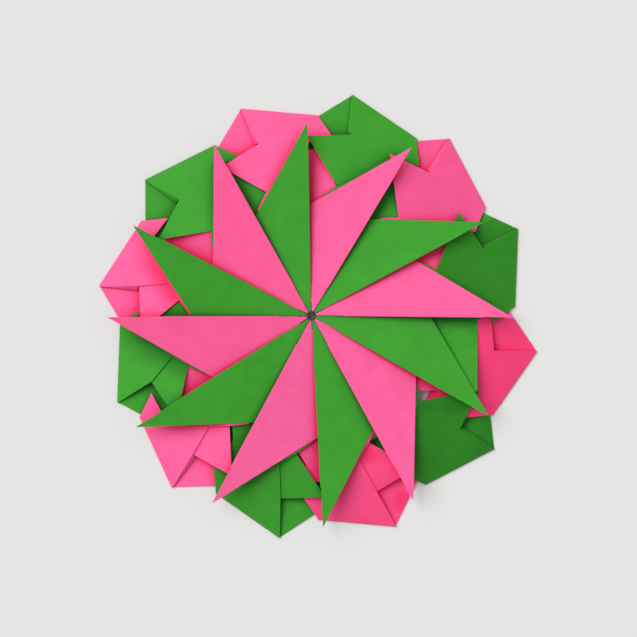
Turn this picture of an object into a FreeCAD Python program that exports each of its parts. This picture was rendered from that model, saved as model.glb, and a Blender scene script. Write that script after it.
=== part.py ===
import FreeCAD, Part
import math
import os

os.makedirs("parts", exist_ok=True)

# Flat paper rosette of twelve interlocking folded sheets, alternately green and pink.
# All sizes are millimetres. The rosette lies on its back, the petals point up at the viewer.
# The origin is the middle of the rosette on the table. The first unit's petal points along +Y,
# and the others follow clockwise. Each unit is drawn with the hub as its centre and its
# petal's straight edge along +Y, and is then turned to its place.

# Whole object
UNIT_COUNT = 12
UNIT_STEP = 360.0 / UNIT_COUNT
PAPER = 0.12
HUB_RADIUS = 1.7

# Petal: a long narrow point, folded double along its straight edge
PETAL_TOP = 7.0
PETAL_TILT = 0.12
PETAL_FOLD = 0.30
PETAL_EDGE = -(PETAL_FOLD + PAPER) / 2
TIP_ANGLE = 30.0
FOLD_START = 11.0
# A petal goes this many degrees under the one that covers it, from this radius outwards
TUCK_ANGLE = 6.0
TUCK_RADIUS = 4.8
# A little of the sharp tip is worn off
WORN_TIP = 0.9

# Back panel: level behind the rim fold, then rising towards the fold of the petal back
BACK_FOLD_X = -31.0
BACK_FOLD_LOW = 37.5
BACK_FOLD_HIGH = 47.3
BACK_FOLD_Z = 1.0
BACK_FOLD = 0.36
BACK_INNER = (12.0, 57.0)
BACK_TAB = (29.5, 55.0)

# Rim panel, with its points given for an evenly spaced unit
RIM_APEX = (14.4, 74.2)
RIM_SHOULDER = (35.8, 58.4)
RIM_TAB = (36.3, 49.6)
RIM_MOUTH = (13.9, 60.9)
FLAP_CORNER = (-1.4, 60.9)
SLIPPED_MOUTH = (13.9, 59.8)
SLIPPED_CORNER = (0.8, 59.0)
RIM_FOLD = 0.55
RIM_DEPTH = 0.86
# The petal's fold opens just before it reaches its own square flap
FOLD_END = FLAP_CORNER[1] - 2.9

# Where rim panel, hem and petal back lie along the next petal's slanting edge,
# measured from the point of that edge nearest the hub
FLAP_LINE = 29.2
PANEL_END = 51.6
HEM_START = 22.5
HEM_END = 49.5
# How far they go under the petal, and how far the hem shows beside it
PANEL_TUCK = 3.6
HEM_SHOW = 0.85
HEM_GAP = 0.30
HEM_ROUND = 0.5
HEM_TAPER = 0.4
HEM_CREASE = 0.72
# The petal back is cut back where the neighbour's rim panel comes through: how far it stays
# from the panel, how far from the square flap, and how far the notch goes beyond the petal
BACK_CLEARANCE = 0.7
BACK_SHOULDER = 14.8
BACK_CORNER = (-24.5, 51.0)
NOTCH_CLEARANCE = 0.4
NOTCH_END = 2.0
PLEATED_CLEARANCE = 1.0
PLEATED_END = 5.8
OPEN_CLEARANCE = 4.8
OPEN_END = 7.0
# Lining of the pocket: a narrow slope from the rim panel's edge down into the mouth
LINING_WIDTH = 1.5
LINING_DEPTH = 1.7
LINING_CLEARANCE = 0.6
# Pleat beside the square flap
PLEAT_SHARE = 0.19
PLEAT_WIDTH = 3.0
PLEAT_GAP = 0.28

# Hand-made differences between the units, clockwise from the top
# How far each petal reaches from the hub
PETAL_REACHES = [65.8, 66.6, 66.8, 68.3, 69.4, 71.8, 72.0, 72.2, 70.7, 69.4, 68.0, 67.0]
# How many degrees each petal, and each rim panel, is turned clockwise from an even spacing
PETAL_TURNS = [-1.0, 0.9, 1.7, 0.6, -0.3, 1.3, -3.0, -1.9, -2.2, -0.2, -2.9, 0.6]
RIM_TURNS = [-2.2, -4.4, -4.3, -1.7, -3.9, -1.4, -1.4, -0.9, -4.4, -3.4, -2.9, -1.5]
# How far each rim panel has slipped outwards
RIM_SLIPS = [0.0, -1.0, -1.8, -0.4, -0.6, 0.7, 1.0, 1.0, -1.5, -0.8, -1.2, -0.9]
# How much the loose corner of each square flap is bent up, or down under the next petal
FLAP_LIFTS = [0.1, 0.1, 0.2, -2.1, 0.1, 0.3, 0.4, 0.5, 0.5, 0.4, 0.2, 0.1]
# The rim's centre, and the middle of the whole rosette, seen from the hub
RIM_SHIFT = (2.2, 0.2)
ORIGIN = (2.2, -0.2)
# The fourth unit has slipped under the back of the next petal instead of lying over it
SLIPPED_UNIT = 3
# Units whose square flap is pleated under the panel beside it
PLEATED_UNITS = [5, 6, 7, 8, 9]
# Units whose pocket gapes, with no lining to be seen
OPEN_MOUTHS = [3, 5, 6, 8]
# Units whose petal back has pulled away, so that one can see through beside the petal
OPEN_UNITS = [5, 6]


def turned(point, degrees):
    """Turn a point of the plan counter-clockwise about the hub."""
    angle = math.radians(degrees)
    x, y = point
    return (x * math.cos(angle) - y * math.sin(angle), x * math.sin(angle) + y * math.cos(angle))


def moved(point, shift, share=1.0):
    """Move a point of the plan by a share of a shift."""
    return (point[0] + share * shift[0], point[1] + share * shift[1])


def between(start, end, share):
    """A point part of the way from start to end."""
    return (start[0] + share * (end[0] - start[0]), start[1] + share * (end[1] - start[1]))


def polar(radius, degrees):
    """A point of the plan, measured counter-clockwise from the unit's straight edge."""
    angle = math.radians(degrees)
    return (-radius * math.sin(angle), radius * math.cos(angle))


def raised(point, z):
    """A point of the plan with its height."""
    return (point[0], point[1], z)


def plane(a, b, c):
    """Height function of the plane through three points given as x, y, z."""
    u = FreeCAD.Vector(b[0] - a[0], b[1] - a[1], b[2] - a[2])
    v = FreeCAD.Vector(c[0] - a[0], c[1] - a[1], c[2] - a[2])
    n = u.cross(v)
    return lambda x, y: a[2] - (n.x * (x - a[0]) + n.y * (y - a[1])) / n.z


def lifted(height, amount):
    """The same height function, raised."""
    return lambda x, y: height(x, y) + amount


def facet(outline, height):
    """A flat piece of paper over an outline, lying on a sloping plane."""
    corners = [FreeCAD.Vector(x, y, height(x, y)) for x, y in outline]
    face = Part.Face(Part.makePolygon(corners + corners[:1]))
    return face.extrude(FreeCAD.Vector(0, 0, PAPER))


def fold(start, end, low, high):
    """A rounded fold along a line, joining a lower to an upper layer.

    The fold bulges to the right of the line seen from start to end.
    """
    along = FreeCAD.Vector(end[0] - start[0], end[1] - start[1], high(*end) - high(*start))
    out = FreeCAD.Vector(along.y, -along.x, 0).normalize()
    up = FreeCAD.Vector(0, 0, 1)
    outer = (high(*start) + PAPER - low(*start)) / 2
    inner = outer - PAPER
    middle = FreeCAD.Vector(start[0], start[1], low(*start) + outer)
    outside = Part.Arc(middle - up * outer, middle + out * outer, middle + up * outer).toShape()
    inside = Part.Arc(middle + up * inner, middle + out * inner, middle - up * inner).toShape()
    top = Part.makeLine(middle + up * outer, middle + up * inner)
    base = Part.makeLine(middle - up * inner, middle - up * outer)
    return Part.Face(Part.Wire([outside, top, inside, base])).extrude(along)


def edge_point(reach, along, tuck):
    """A point beside a petal's slanting edge: along it, and tucked under it or outside it."""
    tip = math.radians(TIP_ANGLE)
    depth = reach * math.sin(tip) - tuck
    return (along * math.sin(tip) - depth * math.cos(tip), along * math.cos(tip) + depth * math.sin(tip))


def elbow_point(reach, degrees):
    """Where a ray from the hub meets a petal's slanting edge."""
    tip = TIP_ANGLE + degrees - 90.0
    return polar(reach * math.sin(math.radians(TIP_ANGLE)) / math.cos(math.radians(tip)), degrees)


def front_height(x, y):
    """Height of the front layer of a petal."""
    return PETAL_TOP + PETAL_TILT * (x - PETAL_EDGE)


def back_height(x, y):
    """Height of the back layer of a petal, down to the fold where the back panel begins."""
    drop = PETAL_TOP - PETAL_FOLD - BACK_FOLD_Z - BACK_FOLD
    return PETAL_TOP - PETAL_FOLD + drop * (x - PETAL_EDGE) / (PETAL_EDGE - BACK_FOLD_X)


def floor(x, y):
    """Height of the level part of the back panel."""
    return 0.0


def petal_front(reach, spacing):
    """Front layer of a petal. The spacing is the angle to the petal that covers this one."""
    outline = [
        (PETAL_EDGE, HUB_RADIUS),
        (PETAL_EDGE, reach - WORN_TIP / 2),
        edge_point(reach, reach * math.cos(math.radians(TIP_ANGLE)) - WORN_TIP, 0.0),
        elbow_point(reach, spacing + TUCK_ANGLE),
        polar(TUCK_RADIUS, spacing + TUCK_ANGLE - 1.0),
        polar(TUCK_RADIUS, spacing - 1.0),
        polar(HUB_RADIUS, spacing - 4.0),
    ]
    return facet(outline, front_height)


def notch(number):
    """How far a petal back stays from the neighbour's flap, and how far its notch goes."""
    if number in OPEN_UNITS:
        return OPEN_CLEARANCE, OPEN_END
    if number - 1 in PLEATED_UNITS:
        return PLEATED_CLEARANCE, PLEATED_END
    return NOTCH_CLEARANCE, NOTCH_END


def petal_back(number):
    """Back layer of a petal, cut back where the neighbour's rim panel lies over it."""
    reach = PETAL_REACHES[number]
    outline = [(PETAL_EDGE, FOLD_START), (PETAL_EDGE, FOLD_END)]
    if number - 1 == SLIPPED_UNIT:
        # Here the petal back lies over the neighbour and peeps out beside the petal
        outline += [edge_point(reach, PANEL_END - 1.5, -1.0)]
    else:
        clearance, end = notch(number)
        outline += [
            edge_point(reach, FLAP_LINE + BACK_SHOULDER, PANEL_TUCK + BACK_CLEARANCE),
            edge_point(reach, FLAP_LINE - clearance, PANEL_TUCK + 2 * BACK_CLEARANCE),
            edge_point(reach, FLAP_LINE - clearance, -end),
            BACK_CORNER,
        ]
    outline += [(BACK_FOLD_X, BACK_FOLD_HIGH), (BACK_FOLD_X, BACK_FOLD_LOW)]
    return facet(outline, back_height)


def petal(number, spacing):
    """Front and back layer of a petal with the fold along its straight edge."""
    crease = fold((PETAL_EDGE, FOLD_START), (PETAL_EDGE, FOLD_END), back_height, front_height)
    return [petal_front(PETAL_REACHES[number], spacing), petal_back(number), crease]


def back_panel(rim):
    """Back of the unit: a level part that it rests on and a part rising to the petal back."""
    apex = rim(*RIM_APEX)
    shoulder = rim(*RIM_SHOULDER)
    inner = rim(*BACK_INNER)
    low_end = (BACK_FOLD_X, BACK_FOLD_LOW)
    high_end = (BACK_FOLD_X, BACK_FOLD_HIGH)
    middle = between(low_end, high_end, 0.5)
    rising = plane(raised(apex, 0.0), raised(inner, 0.0), raised(middle, BACK_FOLD_Z))
    return [
        facet([apex, shoulder, rim(*BACK_TAB), inner], floor),
        facet([apex, inner, low_end, high_end], rising),
        fold(high_end, low_end, rising, back_height),
    ]


def rim_panel(number, rim, beside):
    """Front of the unit at the rim: main panel, square flap and the fold round the rim."""
    slipped = number == SLIPPED_UNIT
    apex = rim(*RIM_APEX)
    shoulder = rim(*RIM_SHOULDER)
    mouth = rim(*(SLIPPED_MOUTH if slipped else RIM_MOUTH))
    flap_corner = rim(*(SLIPPED_CORNER if slipped else FLAP_CORNER))
    inner_corner = beside(FLAP_LINE, PANEL_TUCK)
    inner_end = beside(PANEL_END, PANEL_TUCK)
    pleat_end = between(inner_corner, inner_end, PLEAT_SHARE)

    next_reach = PETAL_REACHES[(number + 1) % UNIT_COUNT]
    inner_z = front_height(*edge_point(next_reach, FLAP_LINE, PANEL_TUCK)) - RIM_DEPTH
    main = plane(raised(apex, RIM_FOLD), raised(shoulder, RIM_FOLD), raised(inner_corner, inner_z))
    pieces = [
        facet([apex, shoulder, rim(*RIM_TAB), inner_end, pleat_end, mouth], main),
        fold(shoulder, apex, floor, main),
    ]

    if number not in OPEN_MOUTHS:
        turn = PETAL_TURNS[number] - RIM_TURNS[number]
        bottom = moved(mouth, turned((-LINING_WIDTH, LINING_CLEARANCE), turn))
        lining = plane(raised(apex, main(*apex)), raised(mouth, main(*mouth)),
                       raised(bottom, main(*mouth) - LINING_DEPTH))
        pieces += [facet([apex, mouth, bottom], lining)]

    root_high, root_low, drop = mouth, pleat_end, 0.0
    if number in PLEATED_UNITS:
        # The paper doubles back under the main panel before it goes on as the flap
        root_high = moved(mouth, (PLEAT_WIDTH, 0.0))
        root_share = PLEAT_SHARE + PLEAT_WIDTH / (PANEL_END - FLAP_LINE)
        root_low = between(inner_corner, inner_end, root_share)
        drop = 2 * PLEAT_GAP
        middle = lifted(main, -PLEAT_GAP)
        pieces += [
            facet([mouth, root_high, root_low, pleat_end], middle),
            fold(mouth, pleat_end, middle, main),
            fold(root_low, root_high, lifted(main, -drop), middle),
        ]
    flap = plane(raised(root_high, main(*root_high) - drop), raised(root_low, main(*root_low) - drop),
                 raised(flap_corner, main(*flap_corner) - drop + FLAP_LIFTS[number]))
    pieces += [facet([root_high, root_low, inner_corner, flap_corner], flap)]
    return pieces, main


def hem(number, beside, main):
    """Strip folded forward over the rim panel, which peeps out beside the next petal."""
    inner_corner = beside(FLAP_LINE, PANEL_TUCK)
    inner_end = beside(PANEL_END, PANEL_TUCK)
    corner = beside(FLAP_LINE, -HEM_SHOW)
    upper = lifted(main, PAPER + HEM_GAP)
    far_side = beside(HEM_START, HEM_TAPER - HEM_SHOW)
    next_reach = PETAL_REACHES[(number + 1) % UNIT_COUNT]
    far_z = front_height(*edge_point(next_reach, HEM_START, -HEM_SHOW)) - PAPER - HEM_GAP
    last = plane(raised(inner_corner, upper(*inner_corner)), raised(corner, upper(*corner)),
                 raised(far_side, far_z))
    outer_end = beside(PANEL_END - HEM_ROUND, 0.0)
    strip = [inner_corner, inner_end, outer_end, beside(HEM_END, -HEM_SHOW), corner]
    crease_end = between(inner_corner, corner, HEM_CREASE)
    return [
        facet(strip, upper),
        facet([crease_end, corner, far_side, beside(HEM_START, PANEL_TUCK - HEM_SHOW)], last),
        fold(between(inner_corner, inner_end, PLEAT_SHARE), inner_end, main, upper),
    ]


def unit(number):
    """One folded sheet, drawn in the frame of its own petal and then turned to its place."""
    before = number - 1
    after = (number + 1) % UNIT_COUNT
    place = UNIT_STEP * number + PETAL_TURNS[number]
    spacing = UNIT_STEP + PETAL_TURNS[number] - PETAL_TURNS[before]
    spacing_next = UNIT_STEP + PETAL_TURNS[after] - PETAL_TURNS[number]
    shift = turned(RIM_SHIFT, place)
    slip = moved((0.0, 0.0), polar(1.0, -20.0), RIM_SLIPS[number])

    def rim(x, y):
        return moved(turned(moved((x, y), slip), PETAL_TURNS[number] - RIM_TURNS[number]), shift)

    def beside(along, tuck):
        return turned(edge_point(PETAL_REACHES[after], along, tuck), -spacing_next)

    pieces, main = rim_panel(number, rim, beside)
    pieces += petal(number, spacing) + back_panel(rim)
    if number != SLIPPED_UNIT:
        pieces += hem(number, beside, main)
    solid = pieces[0].multiFuse(pieces[1:]).removeSplitter()
    solid.rotate(FreeCAD.Vector(0, 0, 0), FreeCAD.Vector(0, 0, 1), -place)
    solid.translate(FreeCAD.Vector(-ORIGIN[0], -ORIGIN[1], 0))
    return solid


for number in range(UNIT_COUNT):
    colour = "green" if number % 2 == 0 else "pink"
    unit(number).exportStep("parts/unit_%02d_%s.step" % (number + 1, colour))
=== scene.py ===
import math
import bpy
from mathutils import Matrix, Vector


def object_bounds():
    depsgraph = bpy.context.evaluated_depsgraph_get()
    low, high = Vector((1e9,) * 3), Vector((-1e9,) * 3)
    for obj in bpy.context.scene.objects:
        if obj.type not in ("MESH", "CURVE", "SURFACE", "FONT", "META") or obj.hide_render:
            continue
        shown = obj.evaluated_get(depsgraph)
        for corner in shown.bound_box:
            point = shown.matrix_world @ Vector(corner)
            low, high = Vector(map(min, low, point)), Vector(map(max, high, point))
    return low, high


bl_info = {
    "name": "Folded Paper Rosette",
    "version": (1, 0, 0),
    "blender": (4, 5, 0),
    "location": "View3D > Sidebar > Rosette",
    "description": "Dresses a flat rosette of folded green and pink paper and lights it",
    "category": "Object",
}

import bpy
from bpy.props import FloatProperty, FloatVectorProperty, PointerProperty
from bpy.types import Operator, Panel, PropertyGroup
from mathutils import Vector

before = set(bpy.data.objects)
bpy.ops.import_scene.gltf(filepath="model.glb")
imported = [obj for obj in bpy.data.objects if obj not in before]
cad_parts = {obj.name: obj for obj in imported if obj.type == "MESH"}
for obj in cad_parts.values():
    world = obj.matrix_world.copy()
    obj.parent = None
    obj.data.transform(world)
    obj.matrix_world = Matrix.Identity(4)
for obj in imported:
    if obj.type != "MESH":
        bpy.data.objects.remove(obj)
CAD_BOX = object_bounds()

# Where all the petals meet, and the angle of each petal's tip
HUB = Vector((-0.0022, 0.0002))
TIP_ANGLE = math.radians(30.0)
# Numbers of the sheets, counted clockwise from 0 at the top, whose rim panel bends sharply
# down where it goes under the next petal; that bend is shown as a wider, stronger painted shade
BENT_UNITS = (8, 9)
# Sheets whose rim panel is crumpled
CRUMPLED_UNITS = (4, 5)
# In the frame of its own sheet, the rim panel lies beyond this X, at this angle from the
# petal's straight edge, and slopes down in this direction
RIM_SIDE = 0.0005
RIM_ANGLE = math.radians(20.0)
RIM_DIRECTION = (0.59, 0.80)
# The petal's highest band, and how far the pattern moves from one sheet to the next
PETAL_BAND = 0.0003
PATTERN_STEP = 0.31
# Distances from the next petal's tip at which the painted shade along the bend starts and has its
# full depth
BEND_TAPER = (0.002, 0.018)
# A gentle bend's width as a share of a sharp one's
GENTLE_SHARE = 0.5
# Size, detail, height and share of painted shade of the crumples in the crumpled rim panels,
# and the noise values at which that painted shade starts to darken the colour, and is darkest
CRUMPLE_SIZE = 0.013
CRUMPLE_DETAIL = 0.5
CRUMPLE_HEIGHT = 0.0022
CRUMPLE_SHADE = 0.8
CRUMPLE_LIMITS = (0.56, 0.36)
# Painted shade in recesses: share of open sky above a point at which the colour starts to darken,
# and is darkest
RECESS_SHADE_LIMITS = (0.98, 0.45)
RECESS_SAMPLES = 8
# Faint mottling: size, detail, and the noise values and colour shares at its two ends
MOTTLE_SIZE = 0.006
MOTTLE_DETAIL = 4.0
MOTTLE_LIMITS = (0.3, 0.7)
MOTTLE_SHARES = (0.93, 1.05)
# Bow, small dents and grain: detail of the noise, and height of the dents and the grain
BOW_DETAIL = 1.0
DENT_SIZE = 0.008
DENT_DETAIL = 3.0
DENT_HEIGHT = 0.00008
GRAIN_DETAIL = 2.0
GRAIN_HEIGHT = 0.00002
GRAIN_STRENGTH = 0.5
# Gloss of the paper and finish of the floor
PAPER_GLOSS = 0.12
FLOOR_ROUGHNESS = 0.9
FLOOR_GLOSS = 0.1
# How far the floor lies under the sheets, how wide the lamp is seen, and the camera's place
# in the plan, sensor and reach
FLOOR_GAP = 0.00005
LAMP_SPREAD = math.radians(45.0)
CAMERA_PLACE = (0.0002, -0.0007)
SENSOR_WIDTH = 36.0
CAMERA_REACH = 20.0


class PaperSettings(PropertyGroup):
    """Colour, painted shade and surface of the two papers"""

    green: FloatVectorProperty(
        name="Green", description="Colour of the green sheets", subtype="COLOR",
        size=3, min=0.0, max=1.0, default=(0.050, 0.345, 0.028),
    )
    pink: FloatVectorProperty(
        name="Pink", description="Colour of the pink sheets", subtype="COLOR",
        size=3, min=0.0, max=1.0, default=(1.0, 0.125, 0.350),
    )
    # Painted shade colour of the green sheets: used where shade is painted in recesses, along bends,
    # in crumples and on the side away from the lamp
    painted_shade_green: FloatVectorProperty(
        name="Deep green", description="Colour of the green sheets between the folds and unfaded",
        subtype="COLOR", size=3, min=0.0, max=1.0, default=(0.016, 0.170, 0.010),
    )
    # Painted shade colour of the pink sheets: used where shade is painted in recesses, along bends,
    # in crumples and on the side away from the lamp
    painted_shade_pink: FloatVectorProperty(
        name="Deep pink", description="Colour of the pink sheets between the folds and unfaded",
        subtype="COLOR", size=3, min=0.0, max=1.0, default=(1.0, 0.022, 0.130),
    )
    # Painted shade: within this distance of a fold or a layer above, the colour is darkened towards
    # the shade colour
    recess_shade_size: FloatProperty(
        name="Recess size", description="Distance over which the colour deepens beside a fold",
        subtype="DISTANCE", unit="LENGTH", min=0.0001, default=0.014,
    )
    # Painted shade: how much darker the rim panels are painted on the side turned away from the lamp
    rim_side_shade: FloatProperty(
        name="Rim dye", description="How much deeper the rim panels are on the unfaded side",
        min=0.0, max=1.0, default=0.68,
    )
    # Painted shade: how much darker the petals are painted, on the side opposite to the rim panels'
    # painted shade
    petal_side_shade: FloatProperty(
        name="Petal dye", description="How much deeper the petals are on the other side",
        min=0.0, max=1.0, default=0.16,
    )
    # Direction of the side painted in shade, clockwise from +Y
    painted_shade_side: FloatProperty(
        name="Dye side", description="Direction of the unfaded side, clockwise from +Y",
        subtype="ANGLE", default=math.radians(125.0),
    )
    # Painted shade along the bend of a rim panel under the next petal: its width and, below, its
    # strengths
    bend_shade_width: FloatProperty(
        name="Bend width", description="Width of the bend of a rim panel beside the next petal",
        subtype="DISTANCE", unit="LENGTH", min=0.0001, default=0.0095,
    )
    sharp_bend_shade: FloatProperty(
        name="Sharp bend", description="How much a sharp bend deepens the colour",
        min=0.0, max=1.0, default=0.95,
    )
    gentle_bend_shade: FloatProperty(
        name="Gentle bend", description="How much a gentle bend deepens the colour",
        min=0.0, max=1.0, default=0.45,
    )
    rim_dip: FloatProperty(
        name="Rim dip", description="Slope of the sprung rim panels down towards the rim",
        default=0.12,
    )
    petal_lift: FloatProperty(
        name="Petal lift", description="Slope of the petals up towards their tips",
        default=0.05,
    )
    roughness: FloatProperty(
        name="Roughness", description="How matt the paper is", min=0.0, max=1.0, default=0.62,
    )
    fibre_size: FloatProperty(
        name="Fibre size", description="Width of the fine paper grain", subtype="DISTANCE",
        unit="LENGTH", min=0.00005, default=0.0004,
    )
    bow_size: FloatProperty(
        name="Bow size", description="Distance over which a panel bows gently", subtype="DISTANCE",
        unit="LENGTH", min=0.001, default=0.035,
    )
    bow_depth: FloatProperty(
        name="Bow depth", description="How far a panel bows out of its plane", subtype="DISTANCE",
        unit="LENGTH", min=0.0, default=0.0009,
    )


class StageSettings(PropertyGroup):
    """Camera, floor and lights"""

    view_width: FloatProperty(
        name="View width", description="Width of the picture at the rosette", subtype="DISTANCE",
        unit="LENGTH", min=0.01, default=0.2166,
    )
    camera_height: FloatProperty(
        name="Camera height", description="Height of the camera above the table", subtype="DISTANCE",
        unit="LENGTH", min=0.1, default=1.2,
    )
    floor_size: FloatProperty(
        name="Floor size", description="Side of the square floor", subtype="DISTANCE",
        unit="LENGTH", min=0.1, default=6.0,
    )
    floor_colour: FloatVectorProperty(
        name="Floor colour", description="Colour of the plain floor", subtype="COLOR",
        size=3, min=0.0, max=1.0, default=(0.78, 0.78, 0.77),
    )
    key_strength: FloatProperty(
        name="Key strength", description="Strength of the main lamp", min=0.0, default=2.1,
    )
    key_elevation: FloatProperty(
        name="Key elevation", description="Height of the main lamp above the horizon",
        subtype="ANGLE", default=math.radians(45.0),
    )
    key_azimuth: FloatProperty(
        name="Key azimuth", description="Direction of the main lamp, clockwise from +Y",
        subtype="ANGLE", default=math.radians(-52.0),
    )
    sky_strength: FloatProperty(
        name="Sky strength", description="Strength of the even light from all round", min=0.0,
        default=0.54,
    )


def new_node(tree, kind, **values):
    """Adds a shader node and sets its unlinked inputs by name."""
    node = tree.nodes.new(kind)
    for name, value in values.items():
        node.inputs[name.replace("_", " ")].default_value = value
    return node


def noise(tree, place, size, detail):
    """A noise texture whose features are about that many metres wide."""
    node = new_node(tree, "ShaderNodeTexNoise", Scale=1.0 / size, Detail=detail)
    tree.links.new(place.outputs["Vector"], node.inputs["Vector"])
    return node


def bump(tree, height, distance, strength, before=None):
    """A bump node on a height, after another one if given."""
    node = new_node(tree, "ShaderNodeBump", Distance=distance, Strength=strength)
    tree.links.new(height, node.inputs["Height"])
    if before:
        tree.links.new(before.outputs["Normal"], node.inputs["Normal"])
    return node


def noise_bump(tree, place, size, detail, distance, strength, before):
    """A bump node on a noise, after another bump node."""
    return bump(tree, noise(tree, place, size, detail).outputs["Fac"], distance, strength, before)


def arithmetic(tree, operation, first, second):
    """A math node on two values, each an output of another node or a number."""
    node = tree.nodes.new("ShaderNodeMath")
    node.operation = operation
    for place, value in enumerate((first, second)):
        if isinstance(value, (int, float)):
            node.inputs[place].default_value = value
        else:
            tree.links.new(value, node.inputs[place])
    return node.outputs["Value"]


def blend(tree, factor, first, second, kind="FLOAT"):
    """A mix node from the first to the second value or colour."""
    node = tree.nodes.new("ShaderNodeMix")
    node.data_type = kind
    sockets = [s for s in node.inputs if s.enabled and s.name in ("Factor", "A", "B")]
    for socket, value in zip(sockets, (factor, first, second)):
        if isinstance(value, bpy.types.NodeSocket):
            tree.links.new(value, socket)
        else:
            socket.default_value = value
    return next(s for s in node.outputs if s.enabled)


def sprung_height(tree, axes, on_rim, settings):
    """How far the sprung sheet stands off its flat facets.

    In the sheet's own frame the petal lies at negative X and lifts towards its tip, and the
    rim panel lies at positive X and dips towards the rim.
    """
    outwards = arithmetic(tree, "ADD", arithmetic(tree, "MULTIPLY", axes["X"], RIM_DIRECTION[0]),
                          arithmetic(tree, "MULTIPLY", axes["Y"], RIM_DIRECTION[1]))
    dip = arithmetic(tree, "MULTIPLY", outwards, -settings.rim_dip)
    lift = arithmetic(tree, "MULTIPLY", axes["Y"], settings.petal_lift)
    return blend(tree, on_rim, lift, dip)


def petal_tip(sheet):
    """The outermost point of a sheet's petal, which is its highest part."""
    points = [sheet.matrix_world @ vertex.co for vertex in sheet.data.vertices]
    top = max(point.z for point in points) - PETAL_BAND
    return max((point.xy for point in points if point.z > top), key=lambda tip: (tip - HUB).length)


def clockwise_angle(tip):
    """Angle of a petal seen from the hub, clockwise from +Y."""
    out = tip - HUB
    return math.atan2(out.x, out.y)


def frame_node(tree, coordinates, origin, angle, lift):
    """Coordinates seen from a point of the plan, in a frame turned by an angle."""
    node = tree.nodes.new("ShaderNodeMapping")
    node.vector_type = "TEXTURE"
    node.inputs["Location"].default_value = (*origin, lift)
    node.inputs["Rotation"].default_value = (0.0, 0.0, angle)
    tree.links.new(coordinates.outputs["Object"], node.inputs["Vector"])
    return node


def axes_of(tree, place):
    """The single coordinates of a frame."""
    node = tree.nodes.new("ShaderNodeSeparateXYZ")
    tree.links.new(place.outputs["Vector"], node.inputs["Vector"])
    return node.outputs


def falling(tree, value, start, end):
    """Goes smoothly from 0 at the start value to 1 at the end value."""
    node = tree.nodes.new("ShaderNodeMapRange")
    node.interpolation_type = "SMOOTHSTEP"
    node.inputs["From Min"].default_value = start
    node.inputs["From Max"].default_value = end
    tree.links.new(value, node.inputs["Value"])
    return node.outputs["Result"]


def bend(tree, coordinates, next_tip, number, settings):
    """How much painted shade darkens the rim panel where it bends down towards the slanting edge of
    the next petal.
    """
    outward = math.radians(90.0) + 2 * TIP_ANGLE - clockwise_angle(next_tip)
    beside = axes_of(tree, frame_node(tree, coordinates, next_tip, outward, 0.0))
    sharp = number in BENT_UNITS
    width = settings.bend_shade_width * (1.0 if sharp else GENTLE_SHARE)
    strength = settings.sharp_bend_shade if sharp else settings.gentle_bend_shade
    away = falling(tree, beside["X"], width, 0.0)
    taper = falling(tree, beside["Y"], *BEND_TAPER)
    return arithmetic(tree, "MULTIPLY", arithmetic(tree, "MULTIPLY", away, taper), strength)


def painted_shade_amount(tree, on_rim, painted_side_shades, bend_and_crumple_shade, settings):
    """How much painted shade darkens the colour: in recesses between the layers, along a bend, in
    crumples, and on the side turned from the lamp.
    """
    recess = new_node(tree, "ShaderNodeAmbientOcclusion", Distance=settings.recess_shade_size)
    recess.samples = RECESS_SAMPLES
    # Painted shade in recesses, from the ambient occlusion
    recess_shade = falling(tree, recess.outputs["AO"], *RECESS_SHADE_LIMITS)
    petal_side_shade, rim_side_shade = painted_side_shades
    sheet = blend(tree, on_rim, petal_side_shade, arithmetic(tree, "MAXIMUM", bend_and_crumple_shade, rim_side_shade))
    return arithmetic(tree, "MAXIMUM", recess_shade, sheet)


def mottled(tree, place, colour):
    """The paper's colour with faint darker and lighter patches."""
    tint = tree.nodes.new("ShaderNodeValToRGB")
    for element, limit, share in zip(tint.color_ramp.elements, MOTTLE_LIMITS, MOTTLE_SHARES):
        element.position = limit
        element.color = [min(1.0, share * part) for part in colour] + [1.0]
    mottle = noise(tree, place, MOTTLE_SIZE, MOTTLE_DETAIL)
    tree.links.new(mottle.outputs["Fac"], tint.inputs["Fac"])
    return tint.outputs["Color"]


def relief(tree, place, sprung, raised, settings):
    """Bow, small dents, crumples where there are any, and grain, on the sprung sheet."""
    bow = noise_bump(tree, place, settings.bow_size, BOW_DETAIL, settings.bow_depth, 1.0,
                     bump(tree, sprung, 1.0, 1.0))
    dents = noise_bump(tree, place, DENT_SIZE, DENT_DETAIL, DENT_HEIGHT, 1.0, bow)
    if raised:
        dents = bump(tree, raised, CRUMPLE_HEIGHT, 1.0, dents)
    grain = noise_bump(tree, place, settings.fibre_size, GRAIN_DETAIL, GRAIN_HEIGHT,
                       GRAIN_STRENGTH, dents)
    return grain.outputs["Normal"]


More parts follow.
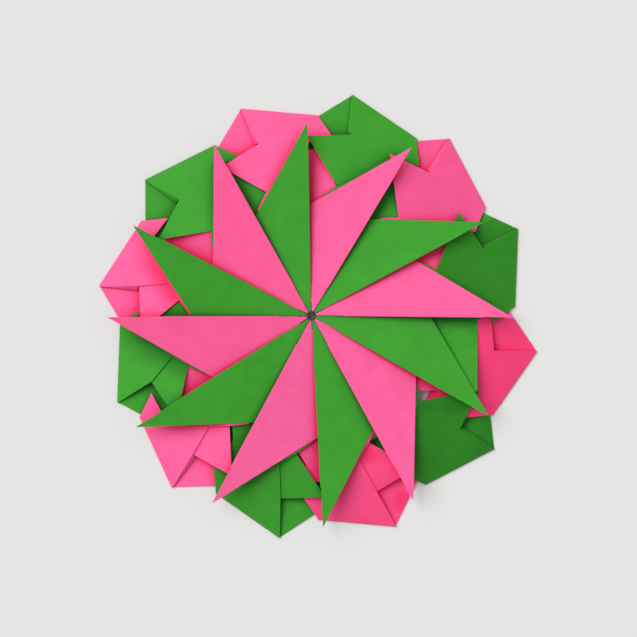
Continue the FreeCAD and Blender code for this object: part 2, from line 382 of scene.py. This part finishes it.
def paper_material(name, colour, deep, number, tip, next_tip, settings):
    """Dyed copy paper: fine grain, faint mottling, painted shade and a gentle bow, different on each
    sheet.
    """
    material = bpy.data.materials.new(name)
    material.use_nodes = True
    tree = material.node_tree
    tree.nodes.clear()
    output = tree.nodes.new("ShaderNodeOutputMaterial")
    shader = new_node(tree, "ShaderNodeBsdfPrincipled", Roughness=settings.roughness)
    shader.inputs["Specular IOR Level"].default_value = PAPER_GLOSS
    tree.links.new(shader.outputs["BSDF"], output.inputs["Surface"])

    coordinates = tree.nodes.new("ShaderNodeTexCoord")
    turn = clockwise_angle(tip)
    place = frame_node(tree, coordinates, HUB, -turn, PATTERN_STEP * number)
    axes = axes_of(tree, place)
    on_rim = arithmetic(tree, "GREATER_THAN", axes["X"], RIM_SIDE)
    # Painted shade on the petal and on the rim panel, by which side of the rosette the sheet lies on
    painted_side_shades = (settings.petal_side_shade * max(0.0, -math.cos(turn - settings.painted_shade_side)),
                settings.rim_side_shade * max(0.0, math.cos(turn + RIM_ANGLE - settings.painted_shade_side)))
    bend_and_crumple_shade = bend(tree, coordinates, next_tip, number, settings)
    raised = None
    if number in CRUMPLED_UNITS:
        ridges = noise(tree, place, CRUMPLE_SIZE, CRUMPLE_DETAIL).outputs["Fac"]
        raised = arithmetic(tree, "MULTIPLY", ridges, on_rim)
        # Painted shade in the dips of the crumples
        crumple_shade = arithmetic(tree, "MULTIPLY", falling(tree, ridges, *CRUMPLE_LIMITS), CRUMPLE_SHADE)
        bend_and_crumple_shade = arithmetic(tree, "MAXIMUM", bend_and_crumple_shade, crumple_shade)
    depth = painted_shade_amount(tree, on_rim, painted_side_shades, bend_and_crumple_shade, settings)
    # Painted shade: the mottled colour is blended towards the shade colour
    paint = blend(tree, depth, mottled(tree, place, colour), (*deep, 1.0), "RGBA")
    tree.links.new(paint, shader.inputs["Base Color"])
    sprung = sprung_height(tree, axes, on_rim, settings)
    tree.links.new(relief(tree, place, sprung, raised, settings), shader.inputs["Normal"])
    return material


def dress_units(colour_name, colour, deep, settings):
    """Gives every folded sheet of one colour its own paper."""
    sheets = sorted(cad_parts.items())
    tips = [petal_tip(sheet) for name, sheet in sheets]
    for number, (name, sheet) in enumerate(sheets):
        if not name.endswith(colour_name):
            continue
        next_tip = tips[(number + 1) % len(tips)]
        material = paper_material(
            "paper_" + name, colour, deep, number, tips[number], next_tip, settings)
        for slot in sheet.material_slots:
            slot.material = material


class ROSETTE_OT_green_units(Operator):
    """Dress the six green sheets"""

    bl_idname = "rosette.green_units"
    bl_label = "Green sheets"

    def execute(self, context):
        settings = context.scene.rosette_paper
        dress_units("green", tuple(settings.green), tuple(settings.painted_shade_green), settings)
        return {"FINISHED"}


class ROSETTE_OT_pink_units(Operator):
    """Dress the six pink sheets"""

    bl_idname = "rosette.pink_units"
    bl_label = "Pink sheets"

    def execute(self, context):
        settings = context.scene.rosette_paper
        dress_units("pink", tuple(settings.pink), tuple(settings.painted_shade_pink), settings)
        return {"FINISHED"}


def floor_material(colour):
    """A plain pale floor that takes the rosette's shadow."""
    material = bpy.data.materials.new("floor_paint")
    material.use_nodes = True
    shader = material.node_tree.nodes["Principled BSDF"]
    shader.inputs["Base Color"].default_value = (*colour, 1.0)
    shader.inputs["Roughness"].default_value = FLOOR_ROUGHNESS
    shader.inputs["Specular IOR Level"].default_value = FLOOR_GLOSS
    return material


def add_floor(settings):
    """The floor that the rosette lies on."""
    half = settings.floor_size / 2
    mesh = bpy.data.meshes.new("floor")
    corners = [(-half, -half, 0.0), (half, -half, 0.0), (half, half, 0.0), (-half, half, 0.0)]
    mesh.from_pydata(corners, [], [(0, 1, 2, 3)])
    floor = bpy.data.objects.new("floor", mesh)
    floor.location.z = CAD_BOX[0][2] - FLOOR_GAP
    mesh.materials.append(floor_material(settings.floor_colour))
    bpy.context.scene.collection.objects.link(floor)


def add_key_lamp(settings):
    """A large soft lamp from the upper left of the picture."""
    lamp = bpy.data.lights.new("key_lamp", "SUN")
    lamp.energy = settings.key_strength
    lamp.angle = LAMP_SPREAD
    key = bpy.data.objects.new("key_lamp", lamp)
    flat = math.cos(settings.key_elevation)
    towards = Vector((
        flat * math.sin(settings.key_azimuth),
        flat * math.cos(settings.key_azimuth),
        math.sin(settings.key_elevation),
    ))
    key.rotation_euler = towards.to_track_quat("Z", "Y").to_euler()
    key.location = towards
    bpy.context.scene.collection.objects.link(key)


def add_sky(settings):
    """Even light from all round."""
    world = bpy.data.worlds.new("studio")
    world.use_nodes = True
    background = world.node_tree.nodes["Background"]
    background.inputs["Color"].default_value = (1.0, 1.0, 1.0, 1.0)
    background.inputs["Strength"].default_value = settings.sky_strength
    bpy.context.scene.world = world


def add_camera(settings):
    """A camera that looks straight down, with +Y at the top of the picture."""
    camera = bpy.data.cameras.new("camera")
    camera.sensor_fit = "HORIZONTAL"
    camera.sensor_width = SENSOR_WIDTH
    camera.lens = camera.sensor_width * settings.camera_height / settings.view_width
    camera.clip_end = CAMERA_REACH
    eye = bpy.data.objects.new("camera", camera)
    eye.location = (*CAMERA_PLACE, settings.camera_height)
    bpy.context.scene.collection.objects.link(eye)
    bpy.context.scene.camera = eye


class ROSETTE_OT_stage(Operator):
    """Add the floor, the lamp, the even light and the camera"""

    bl_idname = "rosette.stage"
    bl_label = "Stage"

    def execute(self, context):
        settings = context.scene.rosette_stage
        add_floor(settings)
        add_key_lamp(settings)
        add_sky(settings)
        add_camera(settings)
        context.scene.view_settings.view_transform = "Standard"
        return {"FINISHED"}


class ROSETTE_PT_panel(Panel):
    """Dresses the rosette step by step"""

    bl_label = "Paper rosette"
    bl_idname = "ROSETTE_PT_panel"
    bl_space_type = "VIEW_3D"
    bl_region_type = "UI"
    bl_category = "Rosette"

    def draw(self, context):
        paper = context.scene.rosette_paper
        stage = context.scene.rosette_stage
        for settings in (paper, stage):
            for name in settings.__annotations__:
                self.layout.prop(settings, name)
        for operator in OPERATORS:
            self.layout.operator(operator.bl_idname)


OPERATORS = (ROSETTE_OT_green_units, ROSETTE_OT_pink_units, ROSETTE_OT_stage)
CLASSES = (PaperSettings, StageSettings) + OPERATORS + (ROSETTE_PT_panel,)


def register():
    """Registers the classes and their settings."""
    for cls in CLASSES:
        bpy.utils.register_class(cls)
    bpy.types.Scene.rosette_paper = PointerProperty(type=PaperSettings)
    bpy.types.Scene.rosette_stage = PointerProperty(type=StageSettings)


def unregister():
    """Removes the classes and their settings."""
    del bpy.types.Scene.rosette_stage
    del bpy.types.Scene.rosette_paper
    for cls in reversed(CLASSES):
        bpy.utils.unregister_class(cls)


def main():
    """Dresses the rosette and sets the stage."""
    register()
    bpy.ops.rosette.green_units()
    bpy.ops.rosette.pink_units()
    bpy.ops.rosette.stage()


if __name__ == "__main__":
    main()
